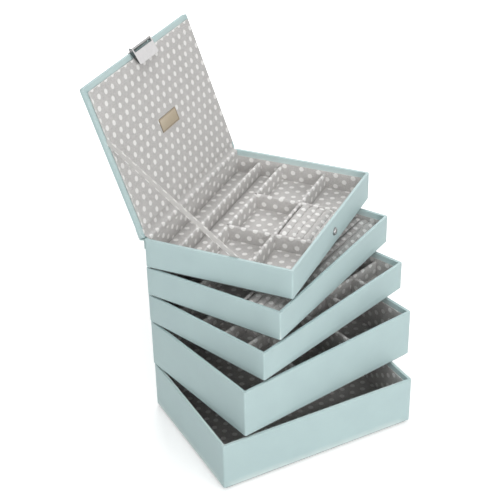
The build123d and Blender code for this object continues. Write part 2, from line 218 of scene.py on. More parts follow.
# %% Shaping
def slice_evenly(piece, axis, low, high, step):
    """Cut a piece at even steps along an axis, so that it can ripple or swell."""
    count = max(1, round((high - low) / step))
    normal = [0, 0, 0]
    normal["XYZ".index(axis)] = 1
    for number in range(1, count):
        place = [0, 0, 0]
        place["XYZ".index(axis)] = low + (high - low) * number / count
        start_edit(piece, "FACE", lambda face: True)
        bpy.ops.mesh.bisect(plane_co=place, plane_no=normal)
        end_edit()


def finish_modifier(piece, kind, **settings):
    """Add a modifier with its settings and apply it."""
    alone(piece)
    modifier = piece.modifiers.new(kind.title(), kind)
    for name, value in settings.items():
        setattr(modifier, name, value)
    bpy.ops.object.modifier_apply(modifier=modifier.name)


# The stretch of the endless noise that ripples are read from
RIPPLES_FROM = Vector((7, 3, 1))


def ripple(piece, size, amount, wanted=lambda point: True):
    """Push the surface in and out a little, in soft waves of a size, as glued cloth and skin lie."""
    mesh = piece.data
    normals = [vertex.normal.copy() for vertex in mesh.vertices]
    for vertex, normal in zip(mesh.vertices, normals):
        if wanted(vertex.co):
            vertex.co += normal * amount * noise.noise(vertex.co / size + RIPPLES_FROM)
    mesh.update()


def uneven(amount, *spot):
    """A small step that changes softly from place to place, and is the same in every run."""
    return amount * noise.noise(Vector(spot))


def smooth(piece, angle):
    """Shade smoothly over edges flatter than an angle."""
    alone(piece)
    bpy.ops.object.shade_smooth_by_angle(angle=radians(angle))


def tidy_normals(piece):
    """Merge doubles and turn every face outwards."""
    start_edit(piece, "FACE", lambda face: True)
    bpy.ops.mesh.remove_doubles(threshold=SAME)
    bpy.ops.mesh.select_all(action="SELECT")
    bpy.ops.mesh.normals_make_consistent(inside=False)
    end_edit()


def join(pieces, name):
    """Join several meshes into one piece."""
    bpy.ops.object.select_all(action="DESELECT")
    for piece in pieces:
        piece.select_set(True)
    bpy.context.view_layer.objects.active = pieces[0]
    bpy.ops.object.join()
    pieces[0].name = name
    return pieces[0]


# %% Laying cloth, and putting a piece in place
def cloth_map(piece):
    """The piece's one map for printed cloth, in metres."""
    layers = piece.data.uv_layers
    while len(layers) > 1:
        layers.remove(layers[-1])
    layer = layers[0] if layers else layers.new(name="cloth")
    layer.name = "cloth"
    return layer


def lay_cloth(piece, spot):
    """Lay printed cloth on a piece: a rule says where on the cloth each corner of a face lies."""
    mesh = piece.data
    layer = cloth_map(piece)
    for face in mesh.polygons:
        for loop in face.loop_indices:
            layer.data[loop].uv = spot(face, mesh.vertices[mesh.loops[loop].vertex_index].co)


def give_finish(piece, finish):
    """Let one finish cover the whole piece."""
    piece.data.materials.clear()
    piece.data.materials.append(finish)


def put(piece, body, finish, replaced):
    """Turn a finished mesh into its body's place, give it its finish and let it ride on the body."""
    piece.data.transform(places[body])
    piece.data.update()
    give_finish(piece, finish)
    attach(piece, body)
    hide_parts(replaced)
    print(piece.name, "rides on", body, "with", len(piece.data.polygons), "faces")


# %% [markdown]
# ## Finishes
# Each finish is built from nodes on the piece's own coordinates. Small helpers keep the node code short:
# one adds a node, sets its values and joins its inputs in one line, and each of the others is a step that
# the finishes share.


# %% Helpers for node trees
def new_finish(name, roughness, metallic=0.0, specular=0.5, sheen=0.0):
    """A material with its main shader, and its sockets that are the same all over."""
    finish = bpy.data.materials.new(name)
    finish.use_nodes = True
    shader = finish.node_tree.nodes["Principled BSDF"]
    shader.inputs["Roughness"].default_value = roughness
    shader.inputs["Metallic"].default_value = metallic
    shader.inputs["Specular IOR Level"].default_value = specular
    shader.inputs["Sheen Weight"].default_value = sheen
    shader.inputs["Sheen Roughness"].default_value = 0.5
    return finish, finish.node_tree, shader


def add(tree, kind, values=None, **inputs):
    """Add a node: values are its own settings, inputs are sockets by name or s0, s1 for their order."""
    node = tree.nodes.new(kind)
    for name, value in (values or {}).items():
        setattr(node, name, value)
    for name, value in inputs.items():
        order = name[1:].isdigit() and name[0] == "s"
        socket = node.inputs[int(name[1:])] if order else node.inputs[name.replace("_", " ")]
        if isinstance(value, bpy.types.NodeSocket):
            tree.links.new(value, socket)
        else:
            socket.default_value = value
    return node


def sum_of(tree, first, second, operation="ADD"):
    """One math node on two values."""
    return add(tree, "ShaderNodeMath", {"operation": operation}, s0=first, s1=second).outputs[0]


def cloud(tree, where, scale, detail, **more):
    """A soft noise, with so many waves to the metre."""
    return add(tree, "ShaderNodeTexNoise", Vector=where, Scale=scale, Detail=detail, **more).outputs["Fac"]


def spread(tree, value, low, high, start=0.0, stop=1.0, kind="LINEAR"):
    """A value's stretch from low to high, drawn out to run from start to stop."""
    return add(tree, "ShaderNodeMapRange", {"interpolation_type": kind},
               s0=value, s1=low, s2=high, s3=start, s4=stop).outputs[0]


def tint(tree, amount, first, second):
    """A colour between two, by an amount. Each is a colour or comes from another node."""
    mix = add(tree, "ShaderNodeMix", {"data_type": "RGBA"}, s0=amount)
    for socket, colour in ((mix.inputs[6], first), (mix.inputs[7], second)):
        if isinstance(colour, bpy.types.NodeSocket):
            tree.links.new(colour, socket)
        else:
            socket.default_value = (*colour, 1)
    return mix.outputs[2]


def emboss(tree, shader, height, strength, depth):
    """Let a height stand out of the surface."""
    bump = add(tree, "ShaderNodeBump", Strength=strength, Distance=depth, Height=height)
    tree.links.new(bump.outputs[0], shader.inputs["Normal"])


def srgb(red, green, blue):
    """A colour as it is seen on screen, as the linear values that a shader takes."""
    return tuple(
        (value / 255 / 12.92) if value <= 10 else (((value / 255 + 0.055) / 1.055) ** 2.4)
        for value in (red, green, blue)
    )


# %% [markdown]
# ### Pale blue leatherette
# The outside is a thin coated cloth, pressed with a fine pebble grain, in a greyed blue. A grain of
# Voronoi cells under a millimetre wide gives the sheen its break-up. A slow noise shifts the blue a little,
# and the sharpest edges are tinted paler, a painted highlight along the rims and corners.

# %% Leatherette
GRAIN, GRAIN_DEPTH = 0.9 * MM, 0.05 * MM
# Waves to the metre of the slow clouds and of the fine specks
SKIN_CLOUDS, SKIN_SPECKS = 28.0, 900.0
# An edge's pointiness where the painted highlight starts to show, and where it shows in full
EDGE_HIGHLIGHT_FROM, EDGE_HIGHLIGHT_TO = 0.53, 0.62
# The last blue is the painted highlight on the sharp edges
BLUE, LIGHT_BLUE, EDGE_HIGHLIGHT_BLUE = srgb(181, 203, 204), srgb(188, 210, 210), srgb(218, 231, 229)


def make_leatherette():
    finish, tree, shader = new_finish("pale_blue_leatherette", 0.5, specular=0.35)
    where = add(tree, "ShaderNodeTexCoord").outputs["Object"]
    cells = add(tree, "ShaderNodeTexVoronoi", {"feature": "SMOOTH_F1"}, Vector=where, Scale=1 / GRAIN,
                Smoothness=0.6)
    slow = cloud(tree, where, SKIN_CLOUDS, 3.0)
    fine = cloud(tree, where, SKIN_SPECKS, 2.0)
    shade = sum_of(tree, slow, sum_of(tree, fine, 0.25, "MULTIPLY"))
    colour = tint(tree, spread(tree, shade, 0.35, 0.9), BLUE, LIGHT_BLUE)
    # Pointy edges are tinted paler: a painted highlight along rims and corners
    edges = add(tree, "ShaderNodeNewGeometry").outputs["Pointiness"]
    painted_highlight = sum_of(tree, spread(tree, edges, EDGE_HIGHLIGHT_FROM, EDGE_HIGHLIGHT_TO), 0.8, "MULTIPLY")
    tree.links.new(tint(tree, painted_highlight, colour, EDGE_HIGHLIGHT_BLUE), shader.inputs["Base Color"])
    tree.links.new(spread(tree, slow, 0.3, 0.7, 0.46, 0.6), shader.inputs["Roughness"])
    emboss(tree, shader, cells.outputs["Distance"], 0.35, GRAIN_DEPTH)
    return finish


leatherette = make_leatherette()
print(leatherette.name, len(leatherette.node_tree.nodes), "nodes")

# %% [markdown]
# ### Dotted lining
# The lining is a smooth cotton in warm grey, printed with off-white dots in staggered rows. The piece's own
# map, in metres, carries the print: two grids of dots, one in the middle of the other's cells. The distance
# to the nearer dot's middle makes the print's edge, and a noise keeps it from being too perfect. Two crossed
# waves make the weave. The cloth's shade comes from a fine noise of its threads, drawn-out noise for its
# slubs, the thicker stretches of thread, and a little slow cloud. The ribbon shows a narrower range of greys.

# %% Dotted cotton
DOT_PITCH, DOT_ROWS = 14.87 * MM, 22.9 * MM
DOT_RADIUS, DOT_EDGE, DOT_FRAY = 3.1 * MM, 0.45 * MM, 0.5 * MM
THREAD, SLUB, WEAVE_DEPTH = 0.55 * MM, 6 * MM, 0.06 * MM
# Waves to the metre of the print's fray and of the slow clouds
FRAY_WAVES, CLOTH_CLOUDS = 1500.0, 45.0


def dot_distance(tree, cloth, shift):
    """Distance to the nearest dot of one of the two grids."""
    def step(operation, first, second=(0, 0, 0)):
        return add(tree, "ShaderNodeVectorMath", {"operation": operation}, s0=first, s1=second)

    cells = step("DIVIDE", cloth, (DOT_PITCH, DOT_ROWS, 1)).outputs[0]
    moved = step("ADD", cells, (shift, shift, 0.5)).outputs[0]
    middle = step("SUBTRACT", step("FRACTION", moved).outputs[0], (0.5, 0.5, 0.5)).outputs[0]
    real = step("MULTIPLY", middle, (DOT_PITCH, DOT_ROWS, 0)).outputs[0]
    return step("LENGTH", real).outputs["Value"]


def make_lining(name, ground, dots):
    """Printed cotton. The ground and the dots each have a darker and a lighter tone."""
    finish, tree, shader = new_finish(name, 0.85, specular=0.25, sheen=0.15)
    cloth = add(tree, "ShaderNodeUVMap", {"uv_map": "cloth"}).outputs[0]
    where = add(tree, "ShaderNodeTexCoord").outputs["Object"]
    nearest = sum_of(tree, dot_distance(tree, cloth, 0.5), dot_distance(tree, cloth, 0.0), "MINIMUM")
    fray = sum_of(tree, cloud(tree, cloth, FRAY_WAVES, 1.0), 0.5, "SUBTRACT")
    frayed = sum_of(tree, nearest, sum_of(tree, fray, DOT_FRAY, "MULTIPLY"))
    printed = spread(tree, frayed, DOT_RADIUS - DOT_EDGE, DOT_RADIUS + DOT_EDGE, 1.0, 0.0, "SMOOTHSTEP")
    slow = cloud(tree, where, CLOTH_CLOUDS, 4.0)
    threads = cloud(tree, cloth, 0.7 / THREAD, 2.0)
    shade = sum_of(tree, sum_of(tree, slow, 0.3, "MULTIPLY"), sum_of(tree, threads, 1.9, "MULTIPLY"))
    for scale in ((1 / SLUB, 5 / SLUB, 1), (5 / SLUB, 1 / SLUB, 1)):
        drawn = add(tree, "ShaderNodeMapping", Vector=cloth, Scale=scale).outputs[0]
        shade = sum_of(tree, shade, sum_of(tree, cloud(tree, drawn, 1.0, 1.0), 0.5, "MULTIPLY"))
    shade = spread(tree, shade, 1.3, 1.9)
    colour = tint(tree, printed, tint(tree, shade, *ground), tint(tree, shade, *dots))
    tree.links.new(colour, shader.inputs["Base Color"])
    warp, weft = (
        add(tree, "ShaderNodeTexWave", {"bands_direction": way}, Vector=cloth, Scale=2 * pi / 20 / THREAD)
        for way in ("X", "Y")
    )
    weave = sum_of(tree, warp.outputs["Fac"], weft.outputs["Fac"], "MULTIPLY")
    emboss(tree, shader, sum_of(tree, weave, sum_of(tree, threads, 0.5, "MULTIPLY")), 0.3, WEAVE_DEPTH)
    return finish


lining = make_lining(
    "dotted_lining",
    (srgb(179, 177, 175), srgb(215, 213, 211)),
    (srgb(236, 235, 233), srgb(245, 244, 242)),
)
ribbon_cloth = make_lining(
    "dotted_ribbon",
    (srgb(200, 198, 195), srgb(211, 209, 206)),
    (srgb(228, 226, 223), srgb(237, 236, 233)),
)
print(lining.name, "and", ribbon_cloth.name, "with dots", round(DOT_PITCH / MM, 2), "mm apart in a row")

# %% [markdown]
# ### Board, felt and metal
# The board and felt hardly show, but they are finished too: raw board has grey fibres, felt is a mat of
# short ones. The clasp's flap is polished chrome with hairline scratches. Its bracket and rivets and the
# catch are the same metal, worn dull, the pin and magnet are plain steel, and the little plate on the lid has
# a satin taupe face, left bare. In a white room metal looks too even, so an ambient occlusion node paints
# shade into the nooks of the chrome. Marked faces take a darker tone: on the flap's sides it is a painted
# reflection of a dark room, and on the plate it darkens its groove and outer edge.


# %% Board and felt
def make_fibres(name, dark, light, scale, depth, roughness):
    """A mat of fibres between two tones, with so many waves to the metre."""
    finish, tree, shader = new_finish(name, roughness, specular=0.2, sheen=0.1)
    where = add(tree, "ShaderNodeTexCoord").outputs["Object"]
    fibres = cloud(tree, where, scale, 6.0, Roughness=0.7)
    slow = cloud(tree, where, scale / 20, 2.0)
    shade = sum_of(tree, sum_of(tree, fibres, slow), 0.5, "MULTIPLY")
    tree.links.new(tint(tree, spread(tree, shade, 0.35, 0.65), dark, light), shader.inputs["Base Color"])
    emboss(tree, shader, fibres, 0.6, depth)
    return finish


board = make_fibres("grey_board", srgb(150, 146, 138), srgb(176, 172, 163),
                    scale=900.0, depth=0.1 * MM, roughness=0.95)
felt = make_fibres("foot_felt", srgb(96, 100, 100), srgb(120, 124, 123),
                   scale=1400.0, depth=0.15 * MM, roughness=1.0)
print(board.name, "and", felt.name)

# %% Chrome, steel and plate
# The first is the colour of the painted shade in the nooks of the metals
PAINTED_NOOK_SHADE, SCRATCH_DEPTH = (0.05, 0.045, 0.045), 0.01 * MM
# Waves to the metre of the hairlines, which run along x, and of the tone's clouds
HAIRLINES, METAL_CLOUDS = (300.0, 3000.0, 3000.0), 180.0


def make_metal(name, colour, roughness, scratch, recess=0.0, dark=None):
    """A metal with hairlines, with painted shade in its nooks out to a recess, and dark on the faces that are
    marked.
    """
    finish, tree, shader = new_finish(name, roughness, metallic=1.0)
    where = add(tree, "ShaderNodeTexCoord").outputs["Object"]
    lines = cloud(tree, add(tree, "ShaderNodeMapping", Vector=where, Scale=HAIRLINES).outputs[0], 1.0, 3.0)
    shade = tint(tree, cloud(tree, where, METAL_CLOUDS, 2.0), tuple(0.9 * part for part in colour), colour)
    if recess:
        # Ambient occlusion paints shade into the nooks
        nook_shade = add(tree, "ShaderNodeAmbientOcclusion", {"samples": 8}, Distance=recess).outputs["AO"]
        shade = tint(tree, spread(tree, nook_shade, 0.15, 0.55), PAINTED_NOOK_SHADE, shade)
    # Marked faces take the dark tone: on the flap a painted reflection, on the plate a darker groove and edge
    if dark:
        marked = add(tree, "ShaderNodeAttribute", {"attribute_name": "shade"}).outputs["Fac"]
        shade = tint(tree, marked, shade, dark)
    tree.links.new(shade, shader.inputs["Base Color"])
    gloss = spread(tree, lines, 0.3, 0.7, roughness * 0.7, roughness * 1.4)
    tree.links.new(gloss, shader.inputs["Roughness"])
    emboss(tree, shader, lines, scratch, SCRATCH_DEPTH)
    return finish


def shade_faces(piece, wanted):
    """Mark the faces that a metal shows in its darker tone, such as the painted reflection on the flap's
    sides.
    """
    marks = piece.data.attributes.new("shade", "FLOAT", "FACE")
    for face in piece.data.polygons:
        marks.data[face.index].value = 1.0 if wanted(face.center) else 0.0


# The dark tone of the bright chrome is a painted reflection of a dark room on the flap's sides
chrome = make_metal("bright_chrome", (0.75, 0.74, 0.74), roughness=0.12, scratch=0.1,
                    recess=3 * MM, dark=(0.16, 0.165, 0.165))
worn_chrome = make_metal("worn_chrome", (0.42, 0.42, 0.42), roughness=0.28, scratch=0.4, recess=1.5 * MM)
steel = make_metal("plain_steel", (0.6, 0.6, 0.61), roughness=0.28, scratch=0.2)
plate_metal = make_metal("taupe_plate", srgb(172, 160, 140), roughness=0.38, scratch=0.25,
                         dark=srgb(112, 101, 86))
print(chrome.name, worn_chrome.name, steel.name, plate_metal.name)

# %% [markdown]
# ## The leatherette of a tray
# On the real tray one strip of leatherette goes round the board walls, over the rim and down inside, and
# its lower edge is turned under the floor. So it is one folded skin: a box is opened at the top and bottom by
# insetting its faces, the inner edge is pulled down, every fold is rounded, and the sheet is then
# given its thickness towards the board. A few slices let it lie very slightly uneven, as glued skin does.

# %% Leatherette of the five trays
FOLD = 0.7 * MM
# The skin is cut this wide and this high, and its ripples are this long and this deep
WRAP_CUT, WRAP_RISE = 12 * MM, 9 * MM
WRAP_WAVE, WRAP_RIPPLE = 45 * MM, 0.06 * MM


def make_wrap(tray, height):
    half_x, half_y = TRAY_WIDTH / 2, TRAY_DEPTH / 2
    wrap = block(f"{tray}_leatherette", (-half_x, -half_y, 0), (half_x, half_y, height))
    start_edit(wrap, "FACE", looks_up)
    bpy.ops.mesh.inset(thickness=RIM, depth=0)
    bpy.ops.mesh.extrude_region_move(TRANSFORM_OT_translate={"value": (0, 0, -TURN_DOWN)})
    bpy.ops.mesh.delete(type="FACE")
    end_edit()
    start_edit(wrap, "FACE", looks_down)
    bpy.ops.mesh.inset(thickness=TURN_UNDER, depth=0)
    bpy.ops.mesh.delete(type="FACE")
    end_edit()
    round_edges(wrap, lambda a, b: abs(a.z - b.z) > height - ABOUT, CORNER, 5)
    inner_x, inner_y = half_x - RIM, half_y - RIM

    def is_fold(a, b):
        """Whether an edge is one of the folds, from its two ends."""
        far_x, far_y = max(abs(a.x), abs(b.x)), max(abs(a.y), abs(b.y))
        level = abs(a.z - b.z) < SAME
        rim = min(a.z, b.z) > height - ABOUT
        inside = rim and far_x <= inner_x + ABOUT and far_y <= inner_y + ABOUT
        outside = rim and far_x > half_x - CORNER
        on_edge = min(
            max(half_x - abs(a.x), half_x - abs(b.x)), max(half_y - abs(a.y), half_y - abs(b.y))
        ) < CORNER
        under = max(a.z, b.z) < ABOUT and on_edge
        return level and (inside or (rim and on_edge) or under or outside)

    round_edges(wrap, is_fold, FOLD, 3)
    slice_evenly(wrap, "X", -half_x + 2 * CORNER, half_x - 2 * CORNER, WRAP_CUT)
    slice_evenly(wrap, "Y", -half_y + 2 * CORNER, half_y - 2 * CORNER, WRAP_CUT)
    slice_evenly(wrap, "Z", FOLD, height - FOLD, WRAP_RISE)
    ripple(wrap, WRAP_WAVE, WRAP_RIPPLE)
    finish_modifier(wrap, "SOLIDIFY", thickness=SKIN, offset=-1.0)
    smooth(wrap, 50)
    put(wrap, tray, leatherette, f"{tray}_wrap")


for tray, height in TRAYS.items():
    make_wrap(tray, height)

# %% [markdown]
# ## Lining and padded floor
# The wall lining is cotton glued on card. It starts where the leatherette ends, with its own folded top
# edge standing just proud. The floor is a thin pad under the same cotton: it swells between the
# dividers and is held down along them and along the walls. So the places of the dividers come first.

# %% Dividers of each tray
DIVIDER, DIVIDER_DROP = 4 * MM, 11.1 * MM
TOP_BACK_TROUGH, TOP_MIDDLE_TROUGH = 28.1 * MM, 25.9 * MM
TOP_FRONT_ROW, FRONT_ROW = 51.8 * MM, 52.7 * MM


def shared_out(count, length):
    """The middles of the dividers that share a length out evenly."""
    clear = (length - (count - 1) * DIVIDER) / count
    step = clear + DIVIDER
    return [-length / 2 + clear + DIVIDER / 2 + step * number for number in range(count - 1)]


FRONT, BACK = -INNER_DEPTH / 2, INNER_DEPTH / 2
LEFT, RIGHT = -INNER_WIDTH / 2, INNER_WIDTH / 2
ring_front_y = FRONT + FRONT_ROW + DIVIDER / 2
ring_back_y = (ring_front_y + DIVIDER / 2 + BACK) / 2
top_back_y = BACK - TOP_BACK_TROUGH - DIVIDER / 2
top_middle_y = top_back_y - TOP_MIDDLE_TROUGH - DIVIDER
top_cell_back = top_middle_y - DIVIDER / 2
top_front_y = FRONT + TOP_FRONT_ROW + DIVIDER / 2
top_xs = shared_out(3, INNER_WIDTH)
grid_xs, grid_ys = shared_out(5, INNER_WIDTH), shared_out(5, INNER_DEPTH)
deep_xs = shared_out(3, INNER_WIDTH)

# Each divider: its node, and its left, right, front and back
dividers = {tray: [] for tray in TRAYS}
for side, x in zip(("left", "right"), deep_xs):
    dividers["deep_tray"].append((f"deep_tray_{side}_divider", x, x, FRONT, BACK))
for number, y in enumerate(grid_ys, start=1):
    dividers["grid_tray"].append((f"grid_tray_long_divider_{number}", LEFT, RIGHT, y, y))
for number, x in enumerate(grid_xs, start=1):
    dividers["grid_tray"].append((f"grid_tray_cross_divider_{number}", x, x, FRONT, BACK))
for side, y in (("back", ring_back_y), ("front", ring_front_y)):
    dividers["ring_tray"].append((f"ring_tray_{side}_divider", LEFT, RIGHT, y, y))
for side, y in (("back", top_back_y), ("middle", top_middle_y), ("front", top_front_y)):
    dividers["top_tray"].append((f"top_tray_{side}_divider", LEFT, RIGHT, y, y))
for side, x in zip(("left", "right"), top_xs):
    dividers["top_tray"].append((f"top_tray_{side}_divider", x, x, FRONT, top_cell_back))
print("dividers", sum(len(found) for found in dividers.values()))

# %% Wall lining
# The lining is cut this wide and this high. Its top fold, and the glue behind it
LINING_CUT, LINING_RISE, LINING_FOLD, LINING_GLUE = 10 * MM, 8 * MM, 0.5 * MM, 0.1 * MM
LINING_WAVE, LINING_RIPPLE = 22 * MM, 0.15 * MM
# A dot of the print lies here on the side and back walls, by height and place along
SIDE_WALL_DOT, BACK_WALL_DOT = (9.8 * MM, 21.1 * MM), (13.8 * MM, 15.75 * MM)


def make_wall_lining(tray, height):
    low, top = SKIN + FLOOR_BOARD, height - TURN_DOWN
    cloth = block(f"{tray}_wall_cloth", (LEFT, FRONT, low), (RIGHT, BACK, top))
    remove_faces(cloth, lambda face: looks_up(face) or looks_down(face))
    slice_evenly(cloth, "X", LEFT, RIGHT, LINING_CUT)
    slice_evenly(cloth, "Y", FRONT, BACK, LINING_CUT)
    slice_evenly(cloth, "Z", low, top, LINING_RISE)
    ripple(cloth, LINING_WAVE, LINING_RIPPLE, lambda point: point.z < top - ABOUT)
    finish_modifier(cloth, "SOLIDIFY", thickness=LINING - LINING_GLUE, offset=1.0)
    round_edges(cloth, lambda a, b: min(a.z, b.z) > top - ABOUT and max(abs(a.x), abs(b.x)) <= RIGHT + ABOUT
                and max(abs(a.y), abs(b.y)) <= BACK + ABOUT, LINING_FOLD, 2)
    tidy_normals(cloth)

    def spot(face, point):
        along, dot = (0, BACK_WALL_DOT) if abs(face.normal.y) > abs(face.normal.x) else (1, SIDE_WALL_DOT)
        return point.z - dot[0], point[along] - dot[1]

    lay_cloth(cloth, spot)
    smooth(cloth, 50)
    put(cloth, tray, lining, f"{tray}_lining")


# %% Floor pads
# A pad's edge lies this far down, and swells this much over this width
PAD_SINK, PAD_SWELL, PAD_EDGE, PAD_CUT = 0.4 * MM, 0.5 * MM, 5 * MM, 4 * MM
PAD_WAVE, PAD_RIPPLE = 14 * MM, 0.25 * MM
# A dot of the print lies here on the floor, and in the troughs behind the cells, by x and y
FLOOR_DOT, TROUGH_DOT = (0.4 * MM, 4.7 * MM), (-0.4 * MM, 0.8 * MM)


def held(tray, point):
    """How far a place on the floor is from the nearest wall or divider, as a share of the pad's edge."""
    gaps = [point.x - LEFT, RIGHT - point.x, point.y - FRONT, BACK - point.y]
    for _, x0, x1, y0, y1 in dividers[tray]:
        if x0 == x1 and y0 <= point.y <= y1:
            gaps.append(abs(point.x - x0) - DIVIDER / 2)
        if y0 == y1 and x0 <= point.x <= x1:
            gaps.append(abs(point.y - y0) - DIVIDER / 2)
    return min(max(min(gaps), 0) / PAD_EDGE, 1)


def make_floor_pad(tray):
    low, high = SKIN + FLOOR_BOARD, FLOOR_TOP
    pad = block(f"{tray}_floor_cloth", (LEFT, FRONT, low), (RIGHT, BACK, high))
    slice_evenly(pad, "X", LEFT, RIGHT, PAD_CUT)
    slice_evenly(pad, "Y", FRONT, BACK, PAD_CUT)
    for vertex in pad.data.vertices:
        if vertex.co.z > high - SAME:
            share = held(tray, vertex.co)
            swell = PAD_SWELL * sqrt(1 - (1 - share) ** 2)
            vertex.co.z = high - PAD_SINK + swell + uneven(PAD_RIPPLE, *(vertex.co / PAD_WAVE)) * share
    pad.data.update()

    def spot(face, point):
        dot = FLOOR_DOT if face.center.y < top_cell_back else TROUGH_DOT
        return point.x - dot[0], point.y - dot[1]

    lay_cloth(pad, spot)
    smooth(pad, 60)
    put(pad, tray, lining, f"{tray}_floor_pad")


for tray, height in TRAYS.items():
    make_wall_lining(tray, height)
    make_floor_pad(tray)

# %% [markdown]
# ## Dividers
# A divider is a strip of board in a sleeve of cotton, round along its top. It leans and sags by a hair from
# place to place, as a glued strip does. Where dividers cross, each has a slot to half its height, cut here
# with a Boolean modifier, so the meshes fit as the real strips do.

# %% Dividers
DIVIDER_ROUND, DIVIDER_LET_IN = 1.8 * MM, 0.3 * MM
DIVIDER_CUT, DIVIDER_RISE = 6 * MM, 5 * MM
# The lean and the sag, and the length of their waves
LEAN, LEAN_WAVE, SAG, SAG_WAVE = 0.3 * MM, 30 * MM, 0.25 * MM, 18 * MM
# A dot of the print lies here on the front of each kind of divider: along it, and by height
STRIP_DOTS = {
    "top_tray_back_divider": (12.1 * MM, 22.5 * MM),
    "top_tray_middle_divider": (10.4 * MM, 0.9 * MM),
    "top_tray_front_divider": (7.2 * MM, 0.4 * MM),
    "top_tray_left_divider": (5.2 * MM, 1.1 * MM),
    "top_tray_right_divider": (7.0 * MM, 1.1 * MM),
}
OTHER_DOT = (5 * MM, 1 * MM)


def wrap_cloth(strip, top, across, middle, dot):
    """Unroll the printed cloth over a divider: up its front, over its round top and down its back."""
    flat, centre = DIVIDER / 2 - DIVIDER_ROUND, top - DIVIDER_ROUND

    def spot(_, point):
        off = point[across] - middle
        side = 1 if off > 0 else -1
        if point.z <= centre:
            around = flat + pi / 2 * DIVIDER_ROUND + centre - point.z
        elif abs(off) > flat:
            around = flat + DIVIDER_ROUND * atan2(abs(off) - flat, point.z - centre)
        else:
            around = abs(off)
        up = top + flat + (pi / 2 - 1) * DIVIDER_ROUND + side * around
        return point[1 - across] - dot[0], up - dot[1]

    lay_cloth(strip, spot)


def crossings(tray, along_x, x, y):
    """The places where dividers that run the other way meet the one at this x or y."""
    for _, x0, x1, y0, y1 in dividers[tray]:
        if (y0 == y1) != along_x:
            place = (x0, y) if along_x else (x, y0)
            if y0 - DIVIDER / 2 <= place[1] <= y1 + DIVIDER / 2:
                yield place


def make_divider(tray, height, name, x0, x1, y0, y1):
    top, bottom = height - DIVIDER_DROP, FLOOR_TOP - DIVIDER_LET_IN
    half = DIVIDER / 2
    along_x = y0 == y1
    low = (x0, y0 - half, bottom) if along_x else (x0 - half, y0, bottom)
    high = (x1, y1 + half, top) if along_x else (x1 + half, y1, top)
    across, middle = (1, y0) if along_x else (0, x0)
    strip = block(f"{name}_cloth", low, high)
    round_edges(strip, lambda a, b: min(a.z, b.z) > top - SAME and abs(a[across] - b[across]) < SAME,
                DIVIDER_ROUND, 4)
    slice_evenly(strip, "X" if along_x else "Y", low[1 - across], high[1 - across], DIVIDER_CUT)
    slice_evenly(strip, "Z", FLOOR_TOP, top - DIVIDER_ROUND, DIVIDER_RISE)
    for vertex in strip.data.vertices:
        along = vertex.co[1 - across]
        # Each divider reads its own line of the noise, by its place
        lean = uneven(LEAN, along / LEAN_WAVE, middle * 40, 5)
        sag = uneven(SAG, along / SAG_WAVE, middle * 70, 9)
        up = max(0, (vertex.co.z - FLOOR_TOP) / (top - FLOOR_TOP))
        vertex.co[across] += lean * up
        vertex.co.z += min(sag, 0) * up
    waist = (FLOOR_TOP + top) / 2
    slot_low, slot_high = (waist, top + DIVIDER) if along_x else (bottom - DIVIDER, waist)
    for x, y in crossings(tray, along_x, x0, y0):
        cutter = block("slot", (x - half, y - half, slot_low), (x + half, y + half, slot_high))
        finish_modifier(strip, "BOOLEAN", operation="DIFFERENCE", object=cutter, solver="EXACT")
        bpy.data.objects.remove(cutter, do_unlink=True)
    wrap_cloth(strip, top, across, middle, STRIP_DOTS.get(name, OTHER_DOT))
    smooth(strip, 50)
    put(strip, tray, lining, name)


for tray, height in TRAYS.items():
    for name, *spans in dividers[tray]:
        make_divider(tray, height, name, *spans)

# %% [markdown]
# ## Ring rolls
# Rings are pushed between soft foam rolls that lie side by side in the front row. The foam fills its row, so
# the rolls press on each other and only shallow valleys part them, with a narrow slit behind the back one.
# Each roll is a box cut into strips, whose top is then bent over, drawn in at both ends and left a little
# uneven.

# %% Ring rolls
ROLLS, ROLL_DROP, ROLL_GAP, SLIT = 5, 10 * MM, 0.1 * MM, 2.4 * MM
# A roll is cut into so many strips across, and this wide and this high
ROLL_CUTS, ROLL_CUT, ROLL_RISE = 12, 3 * MM, 5 * MM
# How far a roll falls off to its sides, and how suddenly
ROLL_BEND, ROLL_CROWN = 2.1 * MM, 2.2
# At its ends a roll comes down and in, over this length
ROLL_END, ROLL_END_DROP, ROLL_END_DRAW = 7 * MM, 2.2 * MM, 0.12
ROLL_WAVE, ROLL_RIPPLE = 11 * MM, 0.4 * MM
# Over the crown the cloth is longer than the roll is wide
CROWN_STRETCH = 1.12
# A dot of the print lies here on each roll, from the back one, in millimetres: along it, and from its
# crown to the front
ROLL_DOTS = [(-5.3, 1.4), (-3.6, 4.4), (-10.3, 1.2), (-9.0, 4.3), (-3.6, 1.4)]


